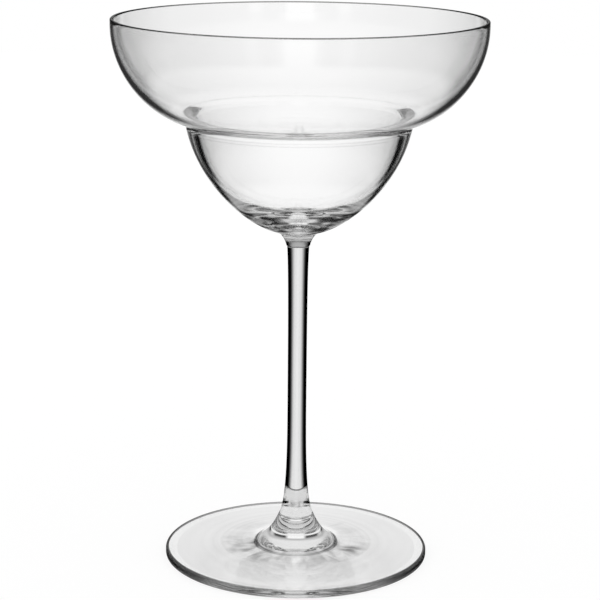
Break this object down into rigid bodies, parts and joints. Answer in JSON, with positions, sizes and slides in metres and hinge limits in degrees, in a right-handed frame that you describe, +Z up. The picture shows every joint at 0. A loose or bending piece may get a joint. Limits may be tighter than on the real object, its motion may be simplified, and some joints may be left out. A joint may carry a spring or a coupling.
{
  "type": "margarita glass",
  "caption": "Clear stemmed margarita glass: a wide bowl that steps down into a narrow well, a slim drawn stem and a round foot.",
  "frame": {"origin": "centre of the foot, on the surface that the glass stands on", "axes": "+Z up along the stem's axis, towards the rim; the glass is round about Z, so X and Y are any two square directions"},
  "size_m": [0.1212, 0.1212, 0.18],
  "materials": {
    "clear_glass": "clear, colourless, fire-polished glass"
  },
  "bodies": {
    "root": {"foot": "clear_glass", "stem": "clear_glass", "bowl": "clear_glass"}
  },
  "joints": []
}
